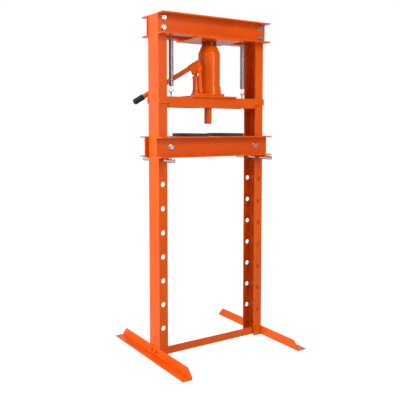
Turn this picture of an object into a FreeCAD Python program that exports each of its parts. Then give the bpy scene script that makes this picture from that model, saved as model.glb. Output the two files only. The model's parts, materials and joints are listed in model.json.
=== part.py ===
import FreeCAD, Part
import math
import os
import re
import Sketcher
from FreeCAD import Placement, Rotation, Vector

# Hydraulic shop press: an H-frame of steel channel, with a bottle jack on a sprung crosshead.
# Millimetres. X runs across the press, Y from front to back and Z up. The origin is on the
# floor, midway between the uprights.

SIZES = {
    # whole press
    "press_height": 1330.3,
    "press_width": 584.2,
    "steel_wall": 5,
    "inner_round": 2.5,
    # uprights: channels with their webs outwards
    "upright_web": 80,
    "upright_flange": 38,
    "pin_inset": 19,
    "pin_hole": 10,
    "pin_pitch": 94.3,
    "pin_first": 116,
    "pin_count": 8,
    # feet: angles along Y, outside the uprights
    "foot_length": 558.8,
    "foot_reach": 40,
    "foot_rise": 37,
    "foot_wall": 4,
    "foot_slope": 30,
    "foot_toe": 9,
    "foot_bolt_side": 17,
    "foot_bolt_up": 22,
    # crossbar between the feet of the uprights
    "bar_front": 29.5,
    "bar_leg": 30,
    "bar_low": 5,
    "tab_rise": 35,
    # bolts: large ones in the beams, small ones in the feet
    "large_shank": 6,
    "large_hole": 6.5,
    "large_flats": 19,
    "large_head": 7.5,
    "large_nut": 10,
    "large_washer": 11,
    "small_shank": 4,
    "small_hole": 4.5,
    "small_flats": 13,
    "small_head": 5.5,
    "small_nut": 6.5,
    "small_washer": 8,
    "washer_thick": 2,
    "thread_end": 3,
    # head beams, in front of the uprights and behind them
    "beam_web": 80,
    "beam_flange": 43.3,
    "beam_length": 512,
    "beam_bolt_across": 232,
    "beam_bolt_drop": 18.5,
    "beam_bolt_pitch": 37,
    # thrust plate and collar above the jack
    "jack_across": 5,
    "thrust_length": 210,
    "thrust_width": 166,
    "thrust_thick": 6,
    "collar_radius": 30.5,
    "collar_bore": 23,
    "collar_drop": 15.8,
    # return springs, the rods that they hang from and the eyes that they pull up
    "spring_across": 173,
    "hanger_radius": 4,
    "hanger_up": 1264,
    "coil_radius": 10,
    "coil_low": 1061,
    "coil_high": 1246,
    "hook_radius": 1.3,
    "hook_low": 1041,
    "eye_strap_width": 24,
    "eye_strap_thick": 5,
    "eye_stem": 3,
    "eye_ring": 8,
    "eye_wire": 2.5,
    "eye_up": 1044.5,
    "eye_nut_rise": 5,
    "eye_arc": 215,
    # crosshead
    "crosshead_top": 1019,
    "crosshead_rise": 40,
    "crosshead_gap": 41,
    "crosshead_half": 254,
    "ear_rise": 26,
    "ear_inner": 205,
    "ear_slope": 5,
    "guide_face": 212.5,
    "seat_length": 206,
    "seat_width": 114,
    "seat_thick": 6,
    "tie_length": 120,
    "tie_thick": 6,
    "ram_tip_radius": 15,
    "ram_tip_low": 915,
    "ram_tip_collar": 22,
    "ram_tip_collar_rise": 8,
    "ram_tip_edge": 1.5,
    "tie_bore": 15.2,
    # bottle jack
    "base_thick": 10,
    "base_half": 46,
    "base_slope_start": 30,
    "base_waist": 52,
    "base_waist_back": 28,
    "base_nose": 92,
    "base_nose_rear": 8,
    "base_nose_front": 40,
    "base_nose_corner": 80,
    "boss_wide": 49.5,
    "boss_narrow": 46.5,
    "boss_top": 41,
    "tank_radius": 44.5,
    "tank_shoulder": 131.6,
    "tank_round": 22,
    "neck_radius": 30.5,
    "neck_rise": 162,
    "neck_round": 5,
    "ram_radius": 19,
    "ram_bore": 19.05,
    "ram_low": 1112,
    "ram_high": 1237,
    "screw_radius": 12,
    "screw_bore": 12.4,
    "screw_low": 1150,
    "screw_head": 20,
    "thrust_clearance": 0.3,
    "valve_up": 23,
    "valve_seat": 50,
    "valve_gland": 9,
    "valve_stem": 5,
    "valve_knob": 8,
    # pump: its own frame starts below the lever's pivot and runs outwards from there
    "pump_across": -59.3,
    "pump_back": -29.8,
    "pump_azimuth": 35.5,
    "pump_radius": 12,
    "pump_nut": 13.5,
    "pump_block": 13.5,
    "pump_block_rise": 10,
    "pump_rise": 58,
    "plunger_reach": 16,
    "plunger_radius": 6,
    "plunger_bore": 6.05,
    "plunger_low": 1053,
    "plunger_high": 1113,
    "link_inner": 10.5,
    "link_thick": 3.5,
    "link_half": 5.5,
    "link_end": 7,
    "link_pin": 4,
    "link_foot": -6,
    "link_foot_up": 1043,
    "lug_half": 5,
    "lug_reach": 8,
    # lever: its own frame starts at its pivot and runs along the handle
    "pivot_up": 1129.2,
    "handle_fall": 31,
    "handle_above": 24.3,
    "handle_start": -14.6,
    "handle_radius": 9.4,
    "handle_bore": 7.4,
    "handle_length": 305,
    "grip_radius": 12,
    "grip_bore": 9.45,
    "grip_length": 43,
    "grip_cap": 4,
    "socket_radius": 12,
    "socket_bore": 9.48,
    "socket_length": 48.6,
    "cheek_inner": 6.6,
    "cheek_thick": 3.5,
    "cheek_chin": 9,
    "cheek_chin_drop": 7,
    "cheek_belly": 24,
    "cheek_belly_drop": 9,
    "cheek_toe": 37,
    "cheek_toe_drop": 3,
    "cheek_brow": 33,
    "cheek_brow_rise": 12,
    "cheek_weld": 31,
    "cheek_heel": 13,
    "cheek_heel_rise": 4,
    "pivot_bore": 4.05,
    "plunger_pin": 3.5,
    "plunger_pin_along": 19.9,
    "plunger_pin_drop": 2,
    # bed, its pins and the press plates on it
    "bed_top": 865,
    "bed_web": 80,
    "bed_flange": 41,
    "bed_gap": 44,
    "bed_length": 532,
    "bed_bolt_across": 203,
    "spacer_radius": 10,
    "bed_pin_radius": 9,
    "bed_pin_up": 775.6,
    "bed_pin_front": 121,
    "bed_pin_length": 236,
    "bed_pin_edge": 2,
    "plate_length": 65.5,
    "plate_width": 170,
    "plate_thick": 12,
    "plate_inner": 53,
}

# Places that several pieces share, as formulas of the driving dimensions.
UPRIGHT_BACK = "(press_width / 2 - foot_reach)"
UPRIGHT_INSIDE = f"({UPRIGHT_BACK} - steel_wall)"
BEAM_LOW = "(press_height - beam_web)"
SEAT_TOP = "(crosshead_top + seat_thick)"
THRUST_LOW = f"({BEAM_LOW} - thrust_thick)"
TANK_LOW = f"({SEAT_TOP} + boss_top)"
PUMP_FOOT = f"({SEAT_TOP} + base_thick + pump_block_rise)"
PLUNGER_ACROSS = "(pump_across - plunger_reach * cos(pump_azimuth))"
PLUNGER_BACK = "(pump_back + plunger_reach * sin(pump_azimuth))"

# Turns that bring a piece's own axes onto the press's.
FACE_FRONT = Rotation(Vector(1, 0, 0), 90)
FACE_BACK = Rotation(Vector(1, 0, 0), -90)
FACE_LEFT = Rotation(Vector(0, 1, 0), -90)
FACE_RIGHT = Rotation(Vector(0, 1, 0), 90)
HALF_TURN = Rotation(Vector(0, 0, 1), 180)
NO_TURN = Rotation()
OPEN_FRONT = Rotation(Vector(0, -1, 0), Vector(0, 0, -1), Vector(1, 0, 0), "ZXY")
OPEN_BACK = Rotation(Vector(0, 1, 0), Vector(0, 0, 1), Vector(1, 0, 0), "ZXY")
PUMP_TURN = Rotation(180 - SIZES["pump_azimuth"], 0, 0)
LEVER_TURN = Rotation(180 - SIZES["pump_azimuth"], SIZES["handle_fall"], 0)

SIDES = (("left", "-"), ("right", ""))

# Lengths closer than this count as the same.
SAME = 0.01

doc = FreeCAD.newDocument("ShopPress")
sheet = doc.addObject("Spreadsheet::Sheet", "dim")
for row, (name, number) in enumerate(SIZES.items(), start=1):
    sheet.set(f"A{row}", name)
    sheet.set(f"B{row}", str(number))
    sheet.setAlias(f"B{row}", name)
doc.recompute()

nodes = []


def formula(text):
    """The text with each driving dimension read from the sheet."""
    return re.sub(r"[a-z]+(?:_[a-z]+)+", r"dim.\g<0>", text)


def place(piece, turn, across="0", back="0", up="0"):
    """Turns a piece and puts its own origin at the given place."""
    piece.Placement = Placement(Vector(), turn)
    for letter, text in zip("xyz", (across, back, up)):
        piece.setExpression(f"Placement.Base.{letter}", formula(text))


def new_node(kind, label):
    node = doc.addObject(kind, label)
    node.Label = label
    nodes.append(node)
    return node


def new_body(label):
    return new_node("PartDesign::Body", label)


def new_sketch(body, role, start="0"):
    """An empty sketch on one of the body's origin planes, moved along the plane's normal."""
    sketch = body.newObject("Sketcher::SketchObject", f"{body.Name}_sketch")
    plane = next(part for part in body.Origin.OriginFeatures if part.Role == role)
    sketch.AttachmentSupport = (plane, [""])
    sketch.MapMode = "FlatFace"
    sketch.setExpression("AttachmentOffset.Base.z", formula(start))
    return sketch


def fix_point(sketch, geometry, point, guess, spot):
    """Dimensions a point from the sketch's origin by an (across, up) pair of formulas."""
    for kind, number, text in zip(("DistanceX", "DistanceY"), guess, spot):
        rule = Sketcher.Constraint(kind, -1, 1, geometry, point, number)
        index = sketch.addConstraint(rule)
        sketch.setExpression(f"Constraints[{index}]", formula(text))


def draw_outline(sketch, corners):
    """A closed outline through corners given as (across, up) formulas."""
    first = sketch.GeometryCount
    count = len(corners)
    turns = [2 * math.pi * index / count for index in range(count)]
    guesses = [(30 * math.cos(turn), 30 * math.sin(turn)) for turn in turns]
    for index in range(count):
        ends = [Vector(*guesses[index], 0), Vector(*guesses[(index + 1) % count], 0)]
        sketch.addGeometry(Part.LineSegment(*ends), False)
    for index in range(count):
        following = first + (index + 1) % count
        sketch.addConstraint(Sketcher.Constraint("Coincident", first + index, 2, following, 1))
    for index in range(count):
        fix_point(sketch, first + index, 1, guesses[index], corners[index])


def draw_circle(sketch, spot, radius):
    circle = Part.Circle(Vector(1, 1, 0), Vector(0, 0, 1), 10)
    index = sketch.addGeometry(circle, False)
    fix_point(sketch, index, 3, (1, 1), spot)
    rule = sketch.addConstraint(Sketcher.Constraint("Radius", index, 10))
    sketch.setExpression(f"Constraints[{rule}]", formula(radius))


def grow(body, sketch, length):
    """Pads the sketch along its plane's normal."""
    pad = body.newObject("PartDesign::Pad", f"{body.Name}_pad")
    pad.Profile = sketch
    pad.setExpression("Length", formula(length))


def add_block(body, role, start, length, corners):
    sketch = new_sketch(body, role, start)
    draw_outline(sketch, corners)
    grow(body, sketch, length)


def add_rod(body, role, start, length, spot, radius):
    sketch = new_sketch(body, role, start)
    draw_circle(sketch, spot, radius)
    grow(body, sketch, length)


def add_hexagon(body, start, length, flats):
    """A hexagonal prism along the body's own Z, with two flats facing its X."""
    side = f"{flats} / 2"
    low = f"{flats} / sqrt(12)"
    high = f"{flats} / sqrt(3)"
    upper = [(side, low), ("0", high), (f"-{side}", low)]
    lower = [(f"-{side}", f"-{low}"), ("0", f"-{high}"), (side, f"-{low}")]
    add_block(body, "XY_Plane", start, length, upper + lower)


def add_turned(body, corners):
    """A solid of revolution about the body's own Z from (radius, height) corners."""
    sketch = new_sketch(body, "XZ_Plane")
    draw_outline(sketch, corners)
    turned = body.newObject("PartDesign::Revolution", f"{body.Name}_turned")
    turned.Profile = sketch
    turned.ReferenceAxis = (sketch, ["V_Axis"])
    turned.Angle = 360


def cut_through(body, sketch):
    """Cuts the sketch right through the body, both ways, and checks that it cut."""
    doc.recompute()
    volume = body.Shape.Volume
    pocket = body.newObject("PartDesign::Pocket", f"{body.Name}_cut")
    pocket.Profile = sketch
    pocket.Type = "ThroughAll"
    pocket.SideType = "Symmetric"
    doc.recompute()
    if body.Shape.Volume >= volume:
        raise RuntimeError(f"{body.Label}: the cut misses the solid")
    return pocket


def drill(body, role, spots, radius):
    sketch = new_sketch(body, role)
    for spot in spots:
        draw_circle(sketch, spot, radius)
    return cut_through(body, sketch)


def round_edges(body, radius, picked):
    """Rounds the edges of the body's last feature that the test picks."""
    doc.recompute()
    base = body.Tip
    names = [f"Edge{n}" for n, edge in enumerate(base.Shape.Edges, start=1) if picked(edge)]
    fillet = body.newObject("PartDesign::Fillet", f"{body.Name}_round")
    fillet.Base = (base, names)
    fillet.setExpression("Radius", formula(radius))


def turned_node(label, corners, turn=NO_TURN, **where):
    body = new_body(label)
    add_turned(body, corners)
    place(body, turn, **where)
    return body


def box_node(label, length, width, height, across, back, up):
    """A box centred on (across, back) that stands on the height up."""
    box = new_node("Part::Box", label)
    sizes = {"Length": length, "Width": width, "Height": height}
    for size, text in sizes.items():
        box.setExpression(size, formula(text))
    place(box, NO_TURN, f"{across} - ({length}) / 2", f"{back} - ({width}) / 2", up)
    return box


def channel(label, web, flange, start, length):
    """A channel along its own Z, with its web on the YZ plane and its flanges towards +X."""
    body = new_body(label)
    edge = f"{web} / 2"
    inner = f"({web} / 2 - steel_wall)"
    low_flange = [("0", f"-{edge}"), (flange, f"-{edge}"), (flange, f"-{inner}"),
                  ("steel_wall", f"-{inner}")]
    high_flange = [("steel_wall", inner), (flange, inner), (flange, edge), ("0", edge)]
    add_block(body, "XY_Plane", start, length, low_flange + high_flange)
    wall = SIZES["steel_wall"]
    inside = lambda edge: is_upright(edge) and abs(edge.BoundBox.XMin - wall) < SAME
    round_edges(body, "inner_round", inside)
    return body


def is_upright(edge):
    box = edge.BoundBox
    return box.XLength + box.YLength < SAME < box.ZLength


def is_level_at(edge, height):
    box = edge.BoundBox
    return box.ZLength < SAME and abs(box.ZMin - height) < SAME


def bolt(label, kind, grip, turn, **where):
    """A bolt with its washers and nut: its own Z leaves the head and starts on the clamped face."""
    washer = f"{kind}_washer"
    shank = f"{kind}_shank"
    nut_face = f"({grip} + washer_thick)"
    end = f"-({nut_face} + {kind}_nut + thread_end)"
    head_side = [("0", "washer_thick"), (washer, "washer_thick"), (washer, "0"), (shank, "0")]
    nut_side = [(shank, f"-({grip})"), (washer, f"-({grip})"), (washer, f"-{nut_face}"),
                (shank, f"-{nut_face}"), (shank, end), ("0", end)]
    body = turned_node(label, head_side + nut_side, turn, **where)
    add_hexagon(body, "washer_thick", f"{kind}_head", f"{kind}_flats")
    add_hexagon(body, f"-({nut_face} + {kind}_nut)", f"{kind}_nut", f"{kind}_flats")
    return body


def upright(side, sign):
    """A full-height channel with a row of pin holes through both flanges."""
    body = channel(f"upright_{side}", "upright_web", "upright_flange", "0", "press_height")
    pin_hole = drill(body, "XZ_Plane", [("pin_inset", "pin_first")], "pin_hole")
    row = body.newObject("PartDesign::LinearPattern", f"{body.Name}_pin_row")
    row.Originals = [pin_hole]
    row.Direction = (pin_hole.Profile[0], ["V_Axis"])
    row.setExpression("Occurrences", formula("pin_count"))
    row.setExpression("Length", formula("pin_pitch * (pin_count - 1)"))
    body.Tip = row
    inset = f"{UPRIGHT_BACK} - beam_bolt_across"
    high = "press_height - beam_bolt_drop"
    drill(body, "XZ_Plane", [(inset, high), (inset, f"{high} - beam_bolt_pitch")], "large_hole")
    foot_bolts = [("foot_bolt_side", "foot_bolt_up"), ("-foot_bolt_side", "foot_bolt_up")]
    drill(body, "YZ_Plane", foot_bolts, "small_hole")
    turn = NO_TURN if side == "left" else HALF_TURN
    place(body, turn, across=f"{sign}{UPRIGHT_BACK}")


def foot(side, sign):
    """An angle along the floor, its upper leg sloping down at both ends."""
    body = new_body(f"foot_{side}")
    flat_leg = [("0", "0"), ("foot_reach", "0"), ("foot_reach", "foot_wall"), ("foot_wall", "foot_wall")]
    up_leg = [("foot_wall", "foot_rise"), ("0", "foot_rise")]
    add_block(body, "XZ_Plane", "-foot_length / 2", "foot_length", flat_leg + up_leg)
    ends = new_sketch(body, "YZ_Plane")
    for end in ("", "-"):
        tip = f"{end}foot_length / 2"
        slope = f"{end}(foot_length / 2 - foot_slope)"
        draw_outline(ends, [(slope, "foot_rise"), (tip, "foot_rise"), (tip, "foot_toe")])
    cut_through(body, ends)
    bolts = [("foot_bolt_side", "foot_bolt_up"), ("-foot_bolt_side", "foot_bolt_up")]
    drill(body, "YZ_Plane", bolts, "small_hole")
    turn = HALF_TURN if side == "left" else NO_TURN
    place(body, turn, across=f"{sign}{UPRIGHT_BACK}")


def foot_bolts(side, sign):
    turn = FACE_LEFT if side == "left" else FACE_RIGHT
    grip = "(2 * foot_wall + steel_wall)"
    for name, back in (("front", "-foot_bolt_side"), ("rear", "foot_bolt_side")):
        across = f"{sign}({UPRIGHT_BACK} + foot_wall)"
        bolt(f"foot_bolt_{side}_{name}", "small", grip, turn, across=across, back=back, up="foot_bolt_up")


def crossbar():
    """A light angle low down between the uprights, with a bolted tab at each end."""
    body = new_body("lower_crossbar")
    front = "-bar_front"
    inside = "(foot_wall - bar_front)"
    low = "bar_low"
    top = "(bar_low + bar_leg)"
    up_leg = [(front, low), (front, top), (inside, top), (inside, "(bar_low + foot_wall)")]
    flat_leg = [("(bar_leg - bar_front)", "(bar_low + foot_wall)"), ("(bar_leg - bar_front)", low)]
    add_block(body, "YZ_Plane", f"-{UPRIGHT_INSIDE}", f"2 * {UPRIGHT_INSIDE}", up_leg + flat_leg)
    tab_top = "(bar_low + tab_rise)"
    tab = [(front, low), ("bar_front", low), ("bar_front", tab_top), (front, tab_top)]
    add_block(body, "YZ_Plane", f"-{UPRIGHT_INSIDE}", "foot_wall", tab)
    add_block(body, "YZ_Plane", f"{UPRIGHT_INSIDE} - foot_wall", "foot_wall", tab)
    bolts = [("foot_bolt_side", "foot_bolt_up"), ("-foot_bolt_side", "foot_bolt_up")]
    drill(body, "YZ_Plane", bolts, "small_hole")


def head_beam(end, turn, sign, toward):
    """A channel across the tops of the uprights; toward is the way its own Y runs along Z."""
    body = channel(f"top_beam_{end}", "beam_web", "beam_flange", "-beam_length / 2", "beam_length")
    high = "(beam_web / 2 - beam_bolt_drop)"
    spots = []
    for up in (high, f"({high} - beam_bolt_pitch)"):
        spots += [(f"{toward}{up}", "beam_bolt_across"), (f"{toward}{up}", "-beam_bolt_across")]
    drill(body, "YZ_Plane", spots, "large_hole")
    place(body, turn, back=f"{sign}upright_web / 2", up="press_height - beam_web / 2")


def head_bolts(end, turn, sign):
    grip = "(2 * steel_wall)"
    back = f"{sign}(upright_web / 2 + steel_wall)"
    for side, across_sign in SIDES:
        for level, drop in (("upper", "beam_bolt_drop"), ("lower", "beam_bolt_drop + beam_bolt_pitch")):
            across = f"{across_sign}beam_bolt_across"
            up = f"press_height - ({drop})"
            label = f"top_bolt_{end}_{side}_{level}"
            bolt(label, "large", grip, turn, across=across, back=back, up=up)


def thrust_parts():
    """The plate that the jack pushes against and the collar round the jack's head."""
    size = ("thrust_length", "thrust_width", "thrust_thick")
    box_node("thrust_plate", *size, "jack_across", "0", THRUST_LOW)
    ring = [("collar_bore", "0"), ("collar_radius", "0"), ("collar_radius", "-collar_drop"),
            ("collar_bore", "-collar_drop")]
    turned_node("top_collar", ring, across="jack_across", up=THRUST_LOW)


def spring_set(side, sign):
    """A hanger rod, a coil spring with its two hooks and the eye that the lower hook holds."""
    across = f"{sign}spring_across"
    rod = [("0", "0"), ("hanger_radius", "0"), ("hanger_radius", "upright_web"), ("0", "upright_web")]
    front = "-upright_web / 2"
    turned_node(f"spring_hanger_{side}", rod, FACE_BACK, across=across, back=front, up="hanger_up")
    top = "(hanger_up - hanger_radius - thrust_clearance)"
    upper = [("0", top), ("hook_radius", top), ("hook_radius", "coil_high"), ("coil_radius", "coil_high")]
    lower = [("coil_radius", "coil_low"), ("hook_radius", "coil_low"), ("hook_radius", "hook_low"),
             ("0", "hook_low")]
    turned_node(f"return_spring_{side}", upper + lower, across=across)
    strap_low = "(crosshead_top - 2 * eye_strap_thick)"
    strap = new_body(f"spring_strap_{side}")
    edge = "eye_strap_width / 2"
    square = [(f"-{edge}", "-crosshead_gap"), (edge, "-crosshead_gap"), (edge, "crosshead_gap"),
              (f"-{edge}", "crosshead_gap")]
    add_block(strap, "XY_Plane", "0", "eye_strap_thick", square)
    drill(strap, "XY_Plane", [("0", "0")], "eye_stem + thrust_clearance")
    place(strap, NO_TURN, across=across, up=strap_low)
    eye_bolt(side, across, strap_low)


def eye_bolt(side, across, strap_low):
    """An open eye in the XZ plane on a threaded stem, with a nut above the strap and one below."""
    stem = doc.addObject("Part::Cylinder", f"eye_stem_{side}")
    stem_low = f"({strap_low} - eye_nut_rise - washer_thick)"
    stem.setExpression("Radius", formula("eye_stem"))
    stem.setExpression("Height", formula(f"eye_up - eye_ring - {stem_low}"))
    place(stem, NO_TURN, up=stem_low)
    ring = doc.addObject("Part::Torus", f"eye_ring_{side}")
    ring.setExpression("Radius1", formula("eye_ring"))
    ring.setExpression("Radius2", formula("eye_wire"))
    ring.setExpression("Angle3", formula("eye_arc * 1 deg"))
    opening = Rotation(Vector(0, 1, 0), SIZES["eye_arc"] / 2 + 90)
    place(ring, opening.multiply(FACE_FRONT), up="eye_up")
    pieces = [stem, ring]
    nuts = (("upper", f"({strap_low} + eye_strap_thick)"), ("lower", f"({strap_low} - eye_nut_rise)"))
    for name, up in nuts:
        nut = doc.addObject("Part::Prism", f"eye_nut_{name}_{side}")
        nut.Polygon = 6
        nut.setExpression("Circumradius", formula("2 * eye_stem"))
        nut.setExpression("Height", formula("eye_nut_rise"))
        place(nut, NO_TURN, up=up)
        pieces.append(nut)
    eye = new_node("Part::MultiFuse", f"spring_eye_{side}")
    eye.Shapes = pieces
    place(eye, NO_TURN, across=across)


def crosshead():
    """Two notched side plates, guides, a bottom tie, a seat plate and the pressing pin."""
    right = [("crosshead_half", "0"), ("crosshead_half", "-ear_rise"), ("ear_inner", "-ear_rise"),
             ("ear_inner - ear_slope", "-crosshead_rise")]
    left = [(f"-({across})", up) for across, up in reversed(right)]
    for end, back in (("front", "-crosshead_gap"), ("rear", "crosshead_gap + steel_wall")):
        body = new_body(f"crosshead_plate_{end}")
        add_block(body, "XZ_Plane", "0", "steel_wall", right + left)
        place(body, NO_TURN, back=back, up="crosshead_top")
    low = "(crosshead_top - crosshead_rise)"
    guide = ("steel_wall", "2 * crosshead_gap", "crosshead_rise")
    for side, sign in SIDES:
        middle = f"{sign}(guide_face - steel_wall / 2)"
        box_node(f"crosshead_guide_{side}", *guide, middle, "0", low)
    box_node("seat_plate", "seat_length", "seat_width", "seat_thick", "0", "0", "crosshead_top")
    tie = new_body("crosshead_tie")
    signs = (("-", "-"), ("", "-"), ("", ""), ("-", ""))
    corners = [(f"{x}tie_length / 2", f"{y}crosshead_gap") for x, y in signs]
    add_block(tie, "XY_Plane", "0", "tie_thick", corners)
    drill(tie, "XY_Plane", [("0", "0")], "tie_bore")
    place(tie, NO_TURN, up=low)


def pressing_pin():
    """The round nose that presses the work, with a collar that rests on the tie."""
    collar_low = "(crosshead_top - crosshead_rise + tie_thick)"
    collar_high = f"({collar_low} + ram_tip_collar_rise)"
    nose = [("0", "ram_tip_low"), ("ram_tip_radius - ram_tip_edge", "ram_tip_low"),
            ("ram_tip_radius", "ram_tip_low + ram_tip_edge"), ("ram_tip_radius", collar_low)]
    collar = [("ram_tip_collar", collar_low), ("ram_tip_collar", collar_high), ("ram_tip_radius", collar_high)]
    top = [("ram_tip_radius", "crosshead_top"), ("0", "crosshead_top")]
    turned_node("pressing_pin", nose + collar + top)


def jack_base():
    """The jack's foot: a plate, a round boss for the tank, a pump block and the valve's gland."""
    body = new_body("jack_base")
    right = [("base_half", "-base_half"), ("base_half", "base_half"), ("-base_slope_start", "base_half")]
    nose = [("-base_waist", "base_waist_back"), ("-base_nose", "-base_nose_rear"),
            ("-base_nose", "-base_nose_front"), ("-base_nose_corner", "-base_half")]
    add_block(body, "XY_Plane", "0", "base_thick", right + nose)
    round_edges(body, "2 * inner_round", is_upright)
    boss = [("0", "base_thick / 2"), ("boss_wide", "base_thick / 2"), ("boss_wide", "base_thick"),
            ("boss_narrow", "boss_top"), ("0", "boss_top")]
    add_turned(body, boss)
    block = (f"{PLUNGER_ACROSS} - jack_across", PLUNGER_BACK)
    add_rod(body, "XY_Plane", "base_thick / 2", "base_thick / 2 + pump_block_rise", block, "pump_block")
    add_rod(body, "XZ_Plane", "-valve_seat", "2 * valve_gland", ("0", "valve_up"), "valve_gland")
    place(body, NO_TURN, across="jack_across", up=SEAT_TOP)


def jack_tank():
    """The oil tank round the ram's cylinder, with a rounded shoulder up to its neck."""
    bore_low = f"(ram_low - {TANK_LOW} - steel_wall)"
    outside = [("0", "0"), ("tank_radius", "0"), ("tank_radius", "tank_shoulder"),
               ("neck_radius", "neck_rise")]
    inside = [("ram_bore", "neck_rise"), ("ram_bore", bore_low), ("0", bore_low)]
    tank = turned_node("jack_tank", outside + inside, across="jack_across", up=TANK_LOW)
    shoulder = lambda edge: is_level_at(edge, SIZES["tank_shoulder"])
    round_edges(tank, "tank_round", shoulder)
    bore = SIZES["ram_bore"]
    neck = lambda edge: is_level_at(edge, SIZES["neck_rise"]) and edge.BoundBox.XMax > bore + SAME
    round_edges(tank, "neck_round", neck)


def jack_ram():
    """The ram, hollow at the top for the extension screw."""
    bore_low = "(screw_low - steel_wall)"
    outside = [("0", "ram_low"), ("ram_radius", "ram_low"), ("ram_radius", "ram_high")]
    inside = [("screw_bore", "ram_high"), ("screw_bore", bore_low), ("0", bore_low)]
    turned_node("jack_ram", outside + inside, across="jack_across")


def extension_screw():
    """A screw in the ram, its round head just below the thrust plate."""
    top = f"({THRUST_LOW} - thrust_clearance)"
    head_low = "(ram_high + thrust_clearance)"
    shank = [("0", "screw_low"), ("screw_radius", "screw_low"), ("screw_radius", head_low)]
    head = [("screw_head", head_low), ("screw_head", top), ("0", top)]
    turned_node("extension_screw", shank + head, across="jack_across")


def release_valve():
    """A knob on a short stem at the back of the jack's foot."""
    clear = "thrust_clearance"
    stem = [("0", clear), ("valve_stem", clear), ("valve_stem", "valve_stem"), ("valve_knob", "valve_stem")]
    knob = [("valve_knob", "valve_stem + 2 * valve_stem"), ("0", "valve_stem + 2 * valve_stem")]
    up = f"{SEAT_TOP} + valve_up"
    turned_node("release_valve", stem + knob, FACE_BACK, across="jack_across", back="valve_seat", up=up)


def pump():
    """The pump's cylinder with its gland nut, and the plunger in it."""
    nut_low = "(pump_rise - pump_radius)"
    outside = [("0", "0"), ("pump_radius", "0"), ("pump_radius", nut_low), ("pump_nut", nut_low),
               ("pump_nut", "pump_rise")]
    inside = [("plunger_bore", "pump_rise"), ("plunger_bore", "steel_wall"), ("0", "steel_wall")]
    where = {"across": PLUNGER_ACROSS, "back": PLUNGER_BACK}
    turned_node("pump_cylinder", outside + inside, up=PUMP_FOOT, **where)
    rod = [("0", "plunger_low"), ("plunger_radius", "plunger_low"), ("plunger_radius", "plunger_high"),
           ("0", "plunger_high")]
    turned_node("pump_plunger", rod, **where)


def pump_link():
    """Two straight bars with round ends on two cross pins, from the lug up to the lever's pivot."""
    body = new_body("pump_link")
    foot = ("link_foot", "link_foot_up - pivot_up")
    head = ("0", "0")
    bar = [("link_foot - link_half", foot[1]), ("link_foot + link_half", foot[1]), ("link_half", "0"),
           ("-link_half", "0")]
    for start in ("link_inner", "-(link_inner + link_thick)"):
        add_block(body, "XZ_Plane", start, "link_thick", bar)
        for spot in (foot, head):
            add_rod(body, "XZ_Plane", start, "link_thick", spot, "link_end")
        if start == "link_inner":
            for spot in (foot, head):
                add_rod(body, "XZ_Plane", "-link_inner", "2 * link_inner", spot, "link_pin")
    place(body, PUMP_TURN, across="pump_across", back="pump_back", up="pivot_up")


def link_lug():
    """The upright lug on the jack's foot that holds the link's lower pin."""
    body = new_body("link_lug")
    low = f"({SEAT_TOP} + base_thick - pivot_up)"
    high = "(link_foot_up - pivot_up + lug_reach)"
    corners = [("link_foot - lug_reach", low), ("link_foot + lug_reach", low),
               ("link_foot + lug_reach / 2", high), ("link_foot - lug_reach / 2", high)]
    add_block(body, "XZ_Plane", "-lug_half", "2 * lug_half", corners)
    drill(body, "XZ_Plane", [("link_foot", "link_foot_up - pivot_up")], "pivot_bore")
    place(body, PUMP_TURN, across="pump_across", back="pump_back", up="pivot_up")


def pump_lever():
    """A socket for the handle on two cheeks, with the pin that pushes the plunger down."""
    body = new_body("pump_lever")
    add_rod(body, "YZ_Plane", "handle_start", "socket_length", ("0", "handle_above"), "socket_radius")
    weld = "handle_above - cheek_thick"
    below = [("-cheek_chin", "-cheek_chin_drop"), ("cheek_belly", "-cheek_belly_drop"),
             ("cheek_toe", "-cheek_toe_drop"), ("cheek_brow", "cheek_brow_rise")]
    above = [("cheek_weld", weld), ("-cheek_heel", weld), ("-cheek_heel", "cheek_heel_rise")]
    for start in ("cheek_inner", "-(cheek_inner + cheek_thick)"):
        add_block(body, "XZ_Plane", start, "cheek_thick", below + above)
    pin = ("plunger_pin_along", "-plunger_pin_drop")
    outer = "(cheek_inner + cheek_thick)"
    add_rod(body, "XZ_Plane", f"-{outer}", f"2 * {outer}", pin, "plunger_pin")
    drill(body, "YZ_Plane", [("0", "handle_above")], "socket_bore")
    drill(body, "XZ_Plane", [("0", "0")], "pivot_bore")
    place(body, LEVER_TURN, across="pump_across", back="pump_back", up="pivot_up")


def handle():
    """The tube that works the pump, and the closed grip on its far end."""
    centre = ("0", "handle_above")
    tube = new_body("pump_handle")
    ring = new_sketch(tube, "YZ_Plane", "handle_start")
    for radius in ("handle_radius", "handle_bore"):
        draw_circle(ring, centre, radius)
    grow(tube, ring, "handle_length")
    grip = new_body("handle_grip")
    sleeve = new_sketch(grip, "YZ_Plane", "handle_start + handle_length - grip_length")
    for radius in ("grip_radius", "grip_bore"):
        draw_circle(sleeve, centre, radius)
    grow(grip, sleeve, "grip_length")
    add_rod(grip, "YZ_Plane", "handle_start + handle_length", "grip_cap", centre, "grip_radius")
    for body in (tube, grip):
        place(body, LEVER_TURN, across="pump_across", back="pump_back", up="pivot_up")


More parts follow.
